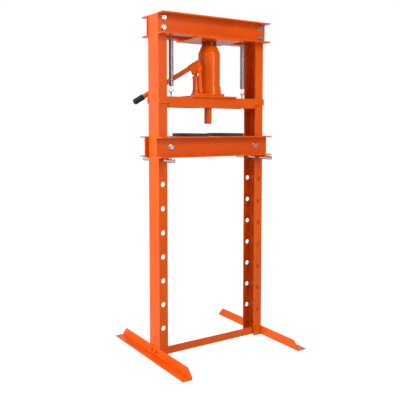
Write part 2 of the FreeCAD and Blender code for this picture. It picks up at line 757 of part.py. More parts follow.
def bed():
    """Two channels back to back, held apart by spacers on two long bolts."""
    spots = [("0", "bed_bolt_across"), ("0", "-bed_bolt_across")]
    middle = "bed_top - bed_web / 2"
    for end, turn, sign in (("front", OPEN_FRONT, "-"), ("rear", OPEN_BACK, "")):
        body = channel(f"bed_beam_{end}", "bed_web", "bed_flange", "-bed_length / 2", "bed_length")
        drill(body, "YZ_Plane", spots, "large_hole")
        place(body, turn, back=f"{sign}bed_gap", up=middle)
    tube = [("large_hole", "-bed_gap"), ("spacer_radius", "-bed_gap"), ("spacer_radius", "bed_gap"),
            ("large_hole", "bed_gap")]
    outside = "(bed_gap + steel_wall)"
    for side, sign in SIDES:
        where = {"across": f"{sign}bed_bolt_across", "up": middle}
        turned_node(f"bed_spacer_{side}", tube, FACE_BACK, **where)
        bolt(f"bed_bolt_{side}", "large", f"(2 * {outside})", FACE_FRONT, back=f"-{outside}", **where)


def bed_pin(side, sign):
    """A plain round pin with chamfered ends, through both flanges of an upright."""
    full = "bed_pin_radius"
    small = "(bed_pin_radius - bed_pin_edge)"
    front = [("0", "0"), (small, "0"), (full, "bed_pin_edge")]
    rear = [(full, "bed_pin_length - bed_pin_edge"), (small, "bed_pin_length"), ("0", "bed_pin_length")]
    across = f"{sign}({UPRIGHT_BACK} - pin_inset)"
    turned_node(f"bed_pin_{side}", front + rear, FACE_BACK, across=across, back="-bed_pin_front", up="bed_pin_up")


def press_plate(side, sign):
    middle = f"{sign}(plate_inner + plate_length / 2)"
    size = ("plate_length", "plate_width", "plate_thick")
    box_node(f"press_plate_{side}", *size, middle, "0", "bed_top")


def build():
    for side, sign in SIDES:
        upright(side, sign)
        foot(side, sign)
        foot_bolts(side, sign)
        spring_set(side, sign)
        bed_pin(side, sign)
        press_plate(side, sign)
    crossbar()
    head_beam("front", OPEN_FRONT, "-", "-")
    head_beam("rear", OPEN_BACK, "", "")
    head_bolts("front", FACE_FRONT, "-")
    head_bolts("rear", FACE_BACK, "")
    thrust_parts()
    crosshead()
    pressing_pin()
    jack_base()
    jack_tank()
    jack_ram()
    extension_screw()
    release_valve()
    pump()
    pump_link()
    link_lug()
    pump_lever()
    handle()
    bed()


def check_and_write():
    """Writes one STEP file for each node once the whole document is sound."""
    doc.recompute()
    for item in doc.Objects:
        if "Invalid" in item.State or "Error" in item.State:
            raise RuntimeError(f"{item.Label}: {item.State}")
    for node in nodes:
        shape = node.Shape
        if shape.isNull() or not shape.isValid() or len(shape.Solids) != 1:
            raise RuntimeError(f"{node.Label}: not one valid solid")
    os.makedirs("parts", exist_ok=True)
    for node in nodes:
        node.Shape.exportStep(os.path.join("parts", f"{node.Label}.step"))
    print(f"{len(nodes)} nodes written")


build()
check_and_write()
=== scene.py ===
import json
import math
import random

import bmesh
import bpy
from mathutils import Matrix, Vector


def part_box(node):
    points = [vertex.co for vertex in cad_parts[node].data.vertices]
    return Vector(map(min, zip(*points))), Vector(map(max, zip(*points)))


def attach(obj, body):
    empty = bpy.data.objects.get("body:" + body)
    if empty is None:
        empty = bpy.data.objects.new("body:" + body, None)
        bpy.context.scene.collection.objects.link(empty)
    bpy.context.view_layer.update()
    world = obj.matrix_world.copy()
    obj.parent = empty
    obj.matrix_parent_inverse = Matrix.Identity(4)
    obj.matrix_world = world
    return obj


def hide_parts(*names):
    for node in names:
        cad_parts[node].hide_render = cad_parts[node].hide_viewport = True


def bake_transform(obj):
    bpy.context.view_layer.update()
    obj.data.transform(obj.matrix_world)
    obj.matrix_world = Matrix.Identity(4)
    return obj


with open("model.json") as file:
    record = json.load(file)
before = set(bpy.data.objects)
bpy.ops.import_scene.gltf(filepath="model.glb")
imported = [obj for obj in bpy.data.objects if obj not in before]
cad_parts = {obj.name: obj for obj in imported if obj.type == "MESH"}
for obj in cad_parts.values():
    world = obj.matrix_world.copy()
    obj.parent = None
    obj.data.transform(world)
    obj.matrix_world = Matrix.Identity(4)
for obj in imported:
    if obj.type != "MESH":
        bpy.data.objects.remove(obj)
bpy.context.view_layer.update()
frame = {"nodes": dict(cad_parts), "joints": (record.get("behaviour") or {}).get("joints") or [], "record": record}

# Hydraulic shop press. Metres, X across, Y from front to back, Z up.

nodes = frame["nodes"]
scene = bpy.context.scene
random.seed(7)

X_AXIS = Vector((1, 0, 0))
Y_AXIS = Vector((0, 1, 0))
Z_AXIS = Vector((0, 0, 1))
MM = 0.001


# ---------------------------------------------------------------- node material helpers

class Shader:
    """A Principled material and short ways to add texture nodes to it."""

    def __init__(self, name, **sockets):
        self.material = bpy.data.materials.new(name)
        self.material.use_nodes = True
        self.tree = self.material.node_tree
        self.surface = self.tree.nodes["Principled BSDF"]
        for socket, value in sockets.items():
            self.surface.inputs[socket.replace("_", " ")].default_value = value
        self.place = self.add("ShaderNodeTexCoord").outputs["Object"]

    def add(self, kind, inputs=None, **settings):
        node = self.tree.nodes.new(kind)
        for name, value in settings.items():
            setattr(node, name, value)
        for name, value in (inputs or {}).items():
            self.feed(node.inputs[name], value)
        return node

    def feed(self, socket, value):
        if isinstance(value, bpy.types.NodeSocket):
            self.tree.links.new(value, socket)
        else:
            socket.default_value = value

    def noise(self, scale, detail=3.0, roughness=0.5, stretch=None):
        place = self.place
        if stretch:
            place = self.add("ShaderNodeMapping", {"Vector": place, "Scale": stretch}).outputs[0]
        inputs = {"Vector": place, "Scale": scale, "Detail": detail, "Roughness": roughness}
        return self.add("ShaderNodeTexNoise", inputs).outputs["Fac"]

    def spread(self, value, low, high, start=0.3, stop=0.7):
        """The value, from start to stop, as a number from low to high."""
        ranges = {"Value": value, "From Min": start, "From Max": stop, "To Min": low, "To Max": high}
        return self.add("ShaderNodeMapRange", ranges).outputs["Result"]

    def blend_colours(self, amount, first, second):
        """The first colour where the amount is 0 and the second where it is 1."""
        mixed = self.add("ShaderNodeMix", data_type="RGBA")
        # A Mix node has sockets for each data type; these are its factor and its two colours.
        for index, value in ((0, amount), (6, first), (7, second)):
            self.feed(mixed.inputs[index], value)
        return mixed.outputs[2]

    def edges(self, radius):
        """1 near edges and inner corners, 0 on flat faces."""
        bevel = self.add("ShaderNodeBevel", {"Radius": radius}, samples=4)
        normal = self.add("ShaderNodeNewGeometry").outputs["Normal"]
        dot = self.add("ShaderNodeVectorMath", {0: bevel.outputs[0], 1: normal}, operation="DOT_PRODUCT")
        return self.spread(dot.outputs["Value"], low=1.0, high=0.0, start=0.86, stop=0.99)

    def bump(self, height, strength, distance, under=None):
        inputs = {"Height": height, "Strength": strength, "Distance": distance}
        if under:
            inputs["Normal"] = under
        return self.add("ShaderNodeBump", inputs).outputs["Normal"]

    def finish(self, colour, roughness, normal):
        self.feed(self.surface.inputs["Base Color"], colour)
        self.feed(self.surface.inputs["Roughness"], roughness)
        self.feed(self.surface.inputs["Normal"], normal)
        return self.material


def enamel(name, deep, bright, edge):
    """Glossy enamel: faint orange peel, uneven thickness and thinner paint on the edges."""
    shader = Shader(name, IOR=1.45, Specular_IOR_Level=0.25, Coat_Weight=0.08, Coat_Roughness=0.15)
    cloud = shader.spread(shader.noise(scale=5, detail=4), 0, 1)
    colour = shader.blend_colours(cloud, deep, bright)
    colour = shader.blend_colours(shader.edges(1.6 * MM), colour, edge)
    roughness = shader.spread(shader.noise(scale=22, detail=4), low=0.23, high=0.29)
    fine = shader.noise(scale=420, detail=2, roughness=0.4)
    peel = shader.bump(fine, strength=0.02, distance=0.3 * MM)
    coarse = shader.noise(scale=60, detail=1, roughness=0.3)
    waves = shader.bump(coarse, strength=0.01, distance=0.5 * MM, under=peel)
    return shader.finish(colour, roughness, waves)


def plated(name, light, dark, rough):
    """Plated or bare steel with a faint grain and handling marks."""
    shader = Shader(name, Metallic=1.0)
    grains = shader.add("ShaderNodeTexVoronoi", {"Vector": shader.place, "Scale": 600.0})
    tint = shader.spread(grains.outputs["Distance"], low=0, high=0.35, start=0.1, stop=0.8)
    colour = shader.blend_colours(tint, light, dark)
    colour = shader.blend_colours(shader.edges(0.8 * MM), colour, (0.95, 0.95, 0.95, 1))
    uneven = shader.noise(scale=160, detail=4, roughness=0.6)
    roughness = shader.spread(uneven, low=rough * 0.9, high=rough * 1.15)
    marks = shader.bump(shader.noise(scale=900, detail=3), strength=0.05, distance=0.1 * MM)
    return shader.finish(colour, roughness, marks)


def polished(name, tone):
    """Hard chrome with fine grinding marks round the bar."""
    shader = Shader(name, Metallic=1.0)
    smear = shader.spread(shader.noise(scale=40, detail=4), 0, 1)
    duller = tuple(0.88 * part for part in tone[:3]) + (1,)
    colour = shader.blend_colours(smear, tone, duller)
    roughness = shader.spread(shader.noise(scale=90, detail=4, roughness=0.6), low=0.10, high=0.22)
    ground = shader.noise(scale=300, detail=2, stretch=(1, 14, 1))
    lines = shader.bump(ground, strength=0.05, distance=0.05 * MM)
    return shader.finish(colour, roughness, lines)


def blackened(name):
    """Black-oxide steel: satin, with brighter worn edges and a mill texture."""
    shader = Shader(name, IOR=1.6, Metallic=0.35)
    cloud = shader.spread(shader.noise(scale=18, detail=5, roughness=0.6), 0, 1)
    colour = shader.blend_colours(cloud, (0.010, 0.011, 0.013, 1), (0.022, 0.023, 0.026, 1))
    colour = shader.blend_colours(shader.edges(1.0 * MM), colour, (0.09, 0.09, 0.095, 1))
    roughness = shader.spread(shader.noise(scale=70, detail=5, roughness=0.65), low=0.38, high=0.58)
    mill = shader.noise(scale=350, detail=5, roughness=0.6)
    skin = shader.bump(mill, strength=0.15, distance=0.2 * MM)
    return shader.finish(colour, roughness, skin)


def moulded_rubber(name):
    """Matt black rubber with a fine moulded grain."""
    shader = Shader(name, IOR=1.5, Specular_IOR_Level=0.28)
    cloud = shader.spread(shader.noise(scale=60, detail=4), 0, 1)
    colour = shader.blend_colours(cloud, (0.009, 0.010, 0.012, 1), (0.016, 0.017, 0.020, 1))
    roughness = shader.spread(shader.noise(scale=200, detail=3), low=0.5, high=0.68)
    grain = shader.bump(shader.noise(scale=1400, detail=2), strength=0.25, distance=0.1 * MM)
    return shader.finish(colour, roughness, grain)


def spring_wire(name):
    """Drawn wire, dull zinc, with fine lengthwise marks."""
    shader = Shader(name, Metallic=1.0)
    cloud = shader.spread(shader.noise(scale=120, detail=4), 0, 1)
    colour = shader.blend_colours(cloud, (0.46, 0.46, 0.47, 1), (0.62, 0.63, 0.64, 1))
    roughness = shader.spread(shader.noise(scale=300, detail=3), low=0.28, high=0.42)
    marks = shader.bump(shader.noise(scale=1500, detail=2), strength=0.1, distance=0.05 * MM)
    return shader.finish(colour, roughness, marks)


ORANGE = enamel("orange_enamel", deep=(0.68, 0.082, 0.001, 1), bright=(0.76, 0.101, 0.001, 1),
                edge=(0.82, 0.15, 0.004, 1))
# A darker copy of the orange enamel: painted shade for the collar under the thrust plate.
PAINTED_SHADE_ORANGE = enamel("painted_shade_enamel", deep=(0.20, 0.018, 0.002, 1), bright=(0.28, 0.028, 0.003, 1),
                     edge=(0.50, 0.07, 0.006, 1))
ZINC = plated("bright_zinc", (0.62, 0.63, 0.65, 1), (0.46, 0.47, 0.48, 1), 0.27)
CHROME = polished("hard_chrome", (0.78, 0.79, 0.80, 1))
DARK_STEEL = plated("machined_steel", (0.20, 0.19, 0.185, 1), (0.13, 0.125, 0.12, 1), 0.34)
DARKER_PLUNGER_STEEL = plated("darker_plunger_steel", (0.10, 0.085, 0.075, 1), (0.06, 0.05, 0.045, 1), 0.30)
BLACK_STEEL = blackened("black_oxide")
RUBBER = moulded_rubber("black_rubber")
SPRING = spring_wire("spring_wire")
MATERIAL_OF_SLOT = {
    "orange_paint": ORANGE,
    "zinc_steel": ZINC,
    "chrome_steel": CHROME,
    "dark_steel": DARK_STEEL,
    "black_steel": BLACK_STEEL,
    "black_rubber": RUBBER,
    "spring_steel": SPRING,
}
# The plunger is given a darker steel than the chrome of the pins.
MATERIAL_OF_NODE = {"pump_plunger": DARKER_PLUNGER_STEEL}


# ---------------------------------------------------------------- mesh helpers

def finish_piece(name, mesh, body, material, stands_for=()):
    """Makes an object of the mesh, rides it on its CAD body and gives it its material."""
    piece = bpy.data.objects.new(name, mesh)
    scene.collection.objects.link(piece)
    mesh.materials.append(material)
    if body:
        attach(piece, body)
    if stands_for:
        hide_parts(*stands_for)
    return piece


def frame_on(origin, along):
    """The matrix that takes +Z to a direction and the origin to a place."""
    turn = Z_AXIS.rotation_difference(along).to_matrix().to_4x4()
    return Matrix.Translation(origin) @ turn


def smooth_by_angle(mesh, degrees=35):
    """Smooth shading, with sharp edges where faces meet at more than the angle."""
    mesh.polygons.foreach_set("use_smooth", [True] * len(mesh.polygons))
    edges = bmesh.new()
    edges.from_mesh(mesh)
    for edge in edges.edges:
        edge.smooth = len(edge.link_faces) == 2 and edge.calc_face_angle(0) < math.radians(degrees)
    edges.to_mesh(mesh)
    edges.free()


def lathe(profile, steps=48):
    """A mesh turned about Z from (radius, height) points.

    A third entry limits the radius by turn, for hexagons and knurls. A profile that doesn't end on
    the axis is closed back to its first point.
    """
    made = bmesh.new()
    rings = []
    for radius, height, *limit in profile:
        if radius <= 0:
            rings.append([made.verts.new((0, 0, height))])
            continue
        ring = []
        for step in range(steps):
            turn = 2 * math.pi * step / steps
            reach = min(radius, limit[0](turn)) if limit else radius
            ring.append(made.verts.new((reach * math.cos(turn), reach * math.sin(turn), height)))
        rings.append(ring)
    if profile[-1][0] > 0:
        rings.append(rings[0])
    for lower, upper in zip(rings, rings[1:]):
        join_rings(made, lower, upper)
    return made


def join_rings(made, lower, upper):
    """Faces between two rings of points. A ring of one point makes a fan."""
    count = max(len(lower), len(upper))
    for step in range(count):
        following = (step + 1) % count
        corners = [lower[step % len(lower)], lower[following % len(lower)],
                   upper[following % len(upper)], upper[step % len(upper)]]
        distinct = list(dict.fromkeys(corners))
        made.faces.new(distinct)


def to_mesh(made, name, matrix=None):
    bmesh.ops.recalc_face_normals(made, faces=made.faces)
    if matrix:
        made.transform(matrix)
    mesh = bpy.data.meshes.new(name)
    made.to_mesh(mesh)
    made.free()
    smooth_by_angle(mesh)
    return mesh


def wire(name, points, radius, body, material, stands_for=(), sides=8):
    """A round wire along a list of points, as a mesh."""
    curve = bpy.data.curves.new(name, "CURVE")
    curve.dimensions = "3D"
    curve.bevel_depth = radius
    curve.bevel_resolution = sides // 4
    curve.use_fill_caps = True
    spline = curve.splines.new("POLY")
    spline.points.add(len(points) - 1)
    for point, place in zip(spline.points, points):
        point.co = (*place, 1)
    holder = bpy.data.objects.new(f"{name}_path", curve)
    scene.collection.objects.link(holder)
    mesh = bpy.data.meshes.new_from_object(holder.evaluated_get(bpy.context.evaluated_depsgraph_get()))
    bpy.data.objects.remove(holder)
    mesh.polygons.foreach_set("use_smooth", [True] * len(mesh.polygons))
    mesh.materials.clear()
    return finish_piece(name, mesh, body, material, stands_for)


# ---------------------------------------------------------------- CAD nodes

NODE_EDGE = 0.5 * MM


def dress_frame():
    """Every CAD node gets its slot's material, or one of its own, and small rounded edges."""
    slots = {entry["node"]: entry["material_slot"] for entry in frame["record"]["subparts"]}
    for name, node in nodes.items():
        node.data.materials.clear()
        node.data.materials.append(MATERIAL_OF_NODE.get(name, MATERIAL_OF_SLOT[slots[name]]))
        bevel = node.modifiers.new("rounded_edges", "BEVEL")
        bevel.width = NODE_EDGE
        bevel.segments = 2
        bevel.limit_method = "ANGLE"
        bevel.angle_limit = math.radians(40)
        bevel.harden_normals = True


def turned(name, profile, origin, along, body, material, stands_for=(), steps=48):
    """A lathe piece with its own Z along a direction and its origin at a place."""
    mesh = to_mesh(lathe(profile, steps), name, frame_on(origin, along))
    return finish_piece(name, mesh, body, material, stands_for)


def middle_of(node):
    low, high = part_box(node)
    return (Vector(low) + Vector(high)) / 2


# ---------------------------------------------------------------- fasteners

WASHER = 2.0 * MM
THREAD_END = 3.0 * MM
SOFT_EDGE = 0.3 * MM
CHAMFER_RINGS = 4
CHAMFER_FACE = 0.48     # radius of a chamfer's flat face, as a share of the size across flats
CHAMFER_DEPTH = 0.09    # and how deep the corners are cut back
RIDGE_DEPTH = 0.3       # depth of a thread, as a share of its pitch
BOLT_PITCH = 1.5 * MM
BOLT_STEPS = 60
# "shank" and "washer" are radii, "flats" is across flats, and "head" and "nut" are heights.
BOLT_SIZES = {
    "large": {"shank": 6.0 * MM, "washer": 11.0 * MM, "flats": 18.0 * MM, "head": 7.5 * MM, "nut": 10.0 * MM},
    "small": {"shank": 4.0 * MM, "washer": 8.0 * MM, "flats": 13.0 * MM, "head": 5.5 * MM, "nut": 6.5 * MM},
}


def hexagon(flats):
    """The distance from a hexagon's centre to its outline, by turn, with flats facing X."""
    sixth = math.pi / 3
    return lambda turn: flats / 2 / math.cos((turn + sixth / 2) % sixth - sixth / 2)


def hex_prism(flats, top, bottom, cut_top=True, cut_bottom=True):
    """Profile points down a hexagonal head or nut whose corners are cut back by a cone."""
    corner = flats / math.sqrt(3)
    face = CHAMFER_FACE * flats
    cut = corner - face
    depth = CHAMFER_DEPTH * flats
    side = hexagon(flats)
    shares = [ring / (CHAMFER_RINGS - 1) for ring in range(CHAMFER_RINGS)]
    points = [(corner, top, side)]
    if cut_top:
        points = [(face + cut * share, top - depth * share, side) for share in shares]
    if cut_bottom:
        points += [(corner - cut * share, bottom + depth * (1 - share), side) for share in shares]
    else:
        points.append((corner, bottom, side))
    return points


def thread(radius, top, bottom, pitch):
    """Profile points down a thread, as a row of ridges."""
    ridges = max(1, round((top - bottom) / pitch))
    root = radius - RIDGE_DEPTH * pitch
    points = []
    for ridge in range(ridges):
        start = top + (bottom - top) * ridge / ridges
        points.append((root, start))
        points.append((radius, start - 0.5 * (top - bottom) / ridges))
    points.append((root, bottom))
    return points


def washer_ring(radius, top, bottom):
    """Profile points down a washer's rim, with soft edges."""
    return [(radius - SOFT_EDGE, top), (radius, top - SOFT_EDGE),
            (radius, bottom + SOFT_EDGE), (radius - SOFT_EDGE, bottom)]


def bolt(node, kind, outward, body, material=ZINC):
    """A hexagon bolt with washers, nut and thread end in place of its CAD node."""
    size = BOLT_SIZES[kind]
    low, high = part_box(node)
    length = abs((Vector(high) - Vector(low)).dot(outward))
    head_top = WASHER + size["head"]
    origin = middle_of(node) + outward * (length / 2 - head_top)
    end = head_top - length
    nut_low = end + THREAD_END
    nut_high = nut_low + size["nut"]
    profile = [(0, head_top)] + hex_prism(size["flats"], head_top, WASHER, cut_bottom=False)
    profile += washer_ring(size["washer"], WASHER, 0)
    profile += [(size["shank"], 0), (size["shank"], nut_high + WASHER)]
    profile += washer_ring(size["washer"], nut_high + WASHER, nut_high)
    profile += hex_prism(size["flats"], nut_high, nut_low)
    profile += thread(size["shank"], nut_low, end, BOLT_PITCH) + [(0, end)]
    turned(f"hex_{node}", profile, origin, outward, body, material, (node,), BOLT_STEPS)


def bolts():
    """The frame's and bed's bolts. Those in the feet are painted over, and the rest are zinc."""
    for side, outward in (("left", -X_AXIS), ("right", X_AXIS)):
        for end in ("front", "rear"):
            bolt(f"foot_bolt_{side}_{end}", "small", outward, "frame", ORANGE)
        bolt(f"bed_bolt_{side}", "large", -Y_AXIS, "bed")
    for end, outward in (("front", -Y_AXIS), ("rear", Y_AXIS)):
        for side in ("left", "right"):
            for level in ("upper", "lower"):
                bolt(f"top_bolt_{end}_{side}_{level}", "large", outward, "frame")


# ---------------------------------------------------------------- springs

COIL_RADIUS = 8.6 * MM
WIRE_RADIUS = 1.35 * MM
COIL_SPACING = 2.02     # from turn to turn, in wire radii
COIL_STEPS = 14
END_TURN = 0.8          # the part of a turn that winds in to the hook
UPPER_HOOK = 18.0 * MM
LOWER_HOOK = 20.0 * MM
UPPER_HOOK_RADIUS = 5.6 * MM
LOWER_HOOK_RADIUS = 4.2 * MM
HOOK_START = -30        # where a hook's open end is, in degrees round its centre
HOOK_STEP = 15
HOOK_POINTS = 19
HOOK_NECK = 1.7         # from a hook's centre to its stem, in hook radii
STEM_POINTS = 5
EYE_RISE = 3.5 * MM
EYE_RING = 8.0 * MM
EYE_WIRE = 2.4 * MM
EYE_STEM = 3.0 * MM
EYE_NUT = 5.0 * MM
EYE_PITCH = 1.0 * MM
EYE_ARC = 215           # degrees; the rest of the ring is open
EYE_STEPS = 24


def spring_points(across, top, bottom, rod_up, eye_up):
    """A close coil that winds in to a hook over the hanger rod and one under the eye's ring."""
    turns = round((top - bottom) / (COIL_SPACING * WIRE_RADIUS))
    whole = turns * COIL_STEPS
    coil = []
    for step in range(1, whole):
        turn = 2 * math.pi * step / COIL_STEPS
        from_end = min(step, whole - step) / (END_TURN * COIL_STEPS)
        reach = COIL_RADIUS * math.sin(math.pi / 2 * min(1, from_end))
        height = top + (bottom - top) * step / whole
        coil.append(Vector((across + reach * math.cos(turn), reach * math.sin(turn), height)))
    upper = hook(across, rod_up, UPPER_HOOK_RADIUS, top, X_AXIS, 1)
    lower = hook(across, eye_up, LOWER_HOOK_RADIUS, bottom, Y_AXIS, -1)
    return upper + coil + list(reversed(lower))


def hook(across, centre_up, radius, coil_end, side, sign):
    """Points from a hook's open end, round its centre and along the stem; sign is 1 for upwards."""
    centre = Vector((across, 0, centre_up))
    points = []
    for step in range(HOOK_POINTS):
        turn = math.radians(HOOK_START + HOOK_STEP * step)
        sideways = side * (radius * math.cos(turn))
        points.append(centre + sideways + Z_AXIS * (sign * radius * math.sin(turn)))
    stem_start = centre - Z_AXIS * (sign * HOOK_NECK * radius)
    stem_end = Vector((across, 0, coil_end + sign * 2 * WIRE_RADIUS))
    for step in range(STEM_POINTS):
        points.append(stem_start.lerp(stem_end, step / (STEM_POINTS - 1)))
    return points


def springs():
    """Two wound springs. Each stretches between its rod on the frame and its eye on the crosshead."""
    for side in ("left", "right"):
        node = f"return_spring_{side}"
        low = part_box(node)[0]
        across = middle_of(node).x
        rod_up = middle_of(f"spring_hanger_{side}").z
        coil_top = rod_up - UPPER_HOOK
        coil_bottom = low.z + LOWER_HOOK
        eye_up = low.z + EYE_RISE
        ring_bottom = eye_up - EYE_RING
        points = spring_points(across, coil_top, coil_bottom, rod_up, ring_bottom)
        piece = wire(f"coil_spring_{side}", points, WIRE_RADIUS, None, SPRING, (node,))
        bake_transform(piece)
        eye_bolt(side, across, eye_up)


def eye_bolt(side, across, eye_up):
    """An open eye that the spring's lower hook pulls on, its threaded stem and two nuts."""
    node = f"spring_eye_{side}"
    centre = Vector((across, 0, eye_up))
    arc = []
    for step in range(EYE_STEPS + 1):
        turn = math.radians(-90 - EYE_ARC / 2 + EYE_ARC * step / EYE_STEPS)
        arc.append(centre + EYE_RING * (X_AXIS * math.cos(turn) + Z_AXIS * math.sin(turn)))
    wire(f"eye_{side}", arc, EYE_WIRE, "crosshead", ZINC, sides=16)
    strap_low, strap_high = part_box(f"spring_strap_{side}")
    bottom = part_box(node)[0].z
    flats = 2 * EYE_STEM * math.sqrt(3)
    top = strap_high.z + EYE_NUT
    profile = [(0, eye_up - EYE_RING)] + thread(EYE_STEM, eye_up - EYE_RING, top, EYE_PITCH)
    profile += hex_prism(flats, top, strap_high.z, cut_bottom=False)
    profile += [(EYE_STEM, strap_high.z), (EYE_STEM, strap_low.z)]
    profile += hex_prism(flats, strap_low.z, strap_low.z - EYE_NUT, cut_top=False)
    profile += thread(EYE_STEM, strap_low.z - EYE_NUT, bottom, EYE_PITCH) + [(0, bottom)]
    origin = Vector((across, 0, 0))
    turned(f"eye_stem_{side}", profile, origin, Z_AXIS, "crosshead", ZINC, (node,), steps=36)


# ---------------------------------------------------------------- jack and pump

def joint_named(name):
    return next(entry for entry in frame["joints"] if entry["name"] == name)


def joint_axis(name):
    return Vector(joint_named(name)["axis"]).normalized()


def collar():
    """The ring round the jack's head, with two turned grooves, in a darker copy of the orange enamel that is
    painted shade.
    """
    low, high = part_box("top_collar")
    outer = (high.x - low.x) / 2
    wall = 7.5 * MM
    inner = outer - wall
    groove = 1.4 * MM
    tall = high.z - low.z
    upper_groove = 0.66
    lower_groove = 0.30
    profile = [(inner, tall), (outer, tall)]
    for share in (upper_groove, lower_groove):
        middle = tall * share
        profile += [(outer, middle + groove), (outer - groove, middle + groove / 2),
                    (outer - groove, middle - groove / 2), (outer, middle - groove)]
    profile += [(outer, SOFT_EDGE), (outer - SOFT_EDGE, 0), (inner, 0)]
    origin = Vector((middle_of("top_collar").x, 0, low.z))
    stands_for = ("top_collar",)
    # The collar's darker orange is painted shade, not a different paint.
    turned("grooved_collar", profile, origin, Z_AXIS, "frame", PAINTED_SHADE_ORANGE, stands_for, 72)


def tank_details():
    """The bead where the tank is soldered into its foot and the rubber plug in its filler hole."""
    low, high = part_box("jack_tank")
    outer = (high.x - low.x) / 2
    origin = Vector((middle_of("jack_tank").x, 0, low.z))
    bead_back = outer - 0.3 * MM
    bead_rise = 2.4 * MM
    bead = [(bead_back, 0), (outer + 1.8 * MM, 0), (outer + 1.5 * MM, 0.7 * MM),
            (outer + 0.5 * MM, 1.4 * MM), (bead_back, bead_rise)]
    turned("tank_bead", bead, origin, Z_AXIS, "crosshead", ORANGE, steps=72)
    radius = 5.5 * MM
    rise = 2.0 * MM
    plug_height = 112 * MM
    plug = [(0, rise), (0.5 * radius, 0.95 * rise), (0.85 * radius, 0.7 * rise), (radius, 0.25 * rise),
            (radius, -rise), (0, -rise)]
    place = origin + Vector((0, outer, plug_height))
    turned("filler_plug", plug, place, Y_AXIS, "crosshead", RUBBER, steps=32)


def pump_cylinder():
    """The pump's barrel with a hexagonal gland nut, bored for the plunger."""
    low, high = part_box("pump_cylinder")
    origin = Vector((*middle_of("pump_cylinder").xy, low.z))
    tall = high.z - low.z
    barrel = 11.6 * MM
    bore = 6.1 * MM
    flats = 23 * MM
    nut_tall = 12 * MM
    nut_low = tall - nut_tall
    bore_floor = 5 * MM
    foot = barrel + 1.4 * MM
    foot_low = 4 * MM
    foot_high = 6 * MM
    profile = [(0, bore_floor), (bore, bore_floor), (bore, tall)] + hex_prism(flats, tall, nut_low)
    profile += [(barrel, nut_low), (barrel, foot_high), (foot, foot_low), (foot, 0), (0, 0)]
    stands_for = ("pump_cylinder",)
    turned("pump_barrel", profile, origin, Z_AXIS, "crosshead", ORANGE, stands_for, 60)


def valve():
    """The release valve's stem and knurled knob."""
    low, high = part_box("release_valve")
    origin = Vector((middle_of("release_valve").x, low.y, middle_of("release_valve").z))
    long = high.y - low.y
    knob = (high.x - low.x) / 2
    stem = 5 * MM
    ridge = 0.35 * MM
    ridges = 24
    knurl = lambda turn: knob - ridge * (1 - math.cos(ridges * turn))
    back = 0.3 * long
    profile = [(0, 0), (stem, 0), (stem, back), (knob - SOFT_EDGE, back, knurl), (knob, 0.4 * long, knurl),
               (knob, 0.9 * long, knurl), (knob - 3 * SOFT_EDGE, long, knurl), (0, long)]
    turned("valve_knob", profile, origin, Y_AXIS, "valve", ZINC, ("release_valve",), 144)


def grip():
    """The handle's rubber grip: a lip, five soft rings and a domed end."""
    along = joint_axis("handle_draw")
    outer = 12 * MM
    bore = 9.45 * MM
    whole = 47 * MM
    sleeve = 43 * MM
    ring = 0.8 * MM
    profile = [(0, sleeve), (bore, sleeve), (bore, 0)]
    profile += [(outer - 2 * ring, 0), (outer, ring), (outer, 4 * ring)]
    rings = 5
    pitch = 5.4 * MM
    for index in range(rings):
        start = 5 * ring + pitch * index
        for share, drop in ((0, ring), (0.3, ring), (0.45, 0.25 * ring), (0.65, 0), (0.85, 0.25 * ring)):
            profile.append((outer - drop, start + share * pitch))
    dome = outer - 0.25 * ring
    dome_rise = 8 * MM
    dome_steps = 8
    for step in range(dome_steps + 1):
        turn = math.radians(90 * step / dome_steps)
        profile.append((dome * math.cos(turn), whole - dome_rise * (1 - math.sin(turn))))
    profile[-1] = (0, whole)
    origin = middle_of("handle_grip") - along * (whole / 2)
    turned("ribbed_grip", profile, origin, along, "handle", RUBBER, ("handle_grip",))


def link_pin_ends():
    """Domed heads on the two pins of the pump's link."""
    side = joint_axis("lever_pivot")
    pivot = Vector(joint_named("lever_pivot")["pos_m"])
    inward = Vector((side.y, -side.x, 0))
    foot_in = 6 * MM
    foot_drop = 86.2 * MM
    half_width = 14 * MM
    foot = pivot + inward * foot_in - Z_AXIS * foot_drop
    radius = 5.2 * MM
    rise = 2.4 * MM
    head = [(0, rise), (0.45 * radius, 0.9 * rise), (0.8 * radius, 0.6 * rise), (radius, 0), (0, 0)]
    for name, place in (("upper", pivot), ("lower", foot)):
        for end, sign in (("a", 1), ("b", -1)):
            face = place + side * (sign * half_width)
            outward = side * sign
            piece = f"pin_head_{name}_{end}"
            turned(piece, head, face, outward, "crosshead", ORANGE, steps=32)


# ---------------------------------------------------------------- weld beads

SEAT_WELD = 2.2 * MM
THRUST_WELD = 1.8 * MM
RIPPLE_PITCH = 2.4 * MM
RIPPLE = 0.12
UNEVEN = 0.04
BLUNT_END = 0.35
BEAD_SIDES = 10


def weld_bead(name, start, end, body, radius):
    """A painted fillet weld along a straight corner, with the ripples that the arc leaves."""
    start = Vector(start)
    end = Vector(end)
    length = (end - start).length
    count = max(4, round(4 * length / RIPPLE_PITCH))
    turns = [2 * math.pi * side / BEAD_SIDES for side in range(BEAD_SIDES)]
    made = bmesh.new()
    rings = []
    for index in range(count + 1):
        share = index / count
        taper = min(1, 8 * share + BLUNT_END, 8 * (1 - share) + BLUNT_END)
        wave = 1 + RIPPLE * math.sin(math.pi * index / 2) + random.uniform(-UNEVEN, UNEVEN)
        reach = radius * taper * wave
        spots = [(reach * math.cos(turn), reach * math.sin(turn), length * share) for turn in turns]
        rings.append([made.verts.new(spot) for spot in spots])
    for lower, upper in zip(rings, rings[1:]):
        join_rings(made, lower, upper)
    made.faces.new(rings[0])
    made.faces.new(rings[-1])
    mesh = to_mesh(made, name, frame_on(start, (end - start).normalized()))
    finish_piece(name, mesh, body, ORANGE)


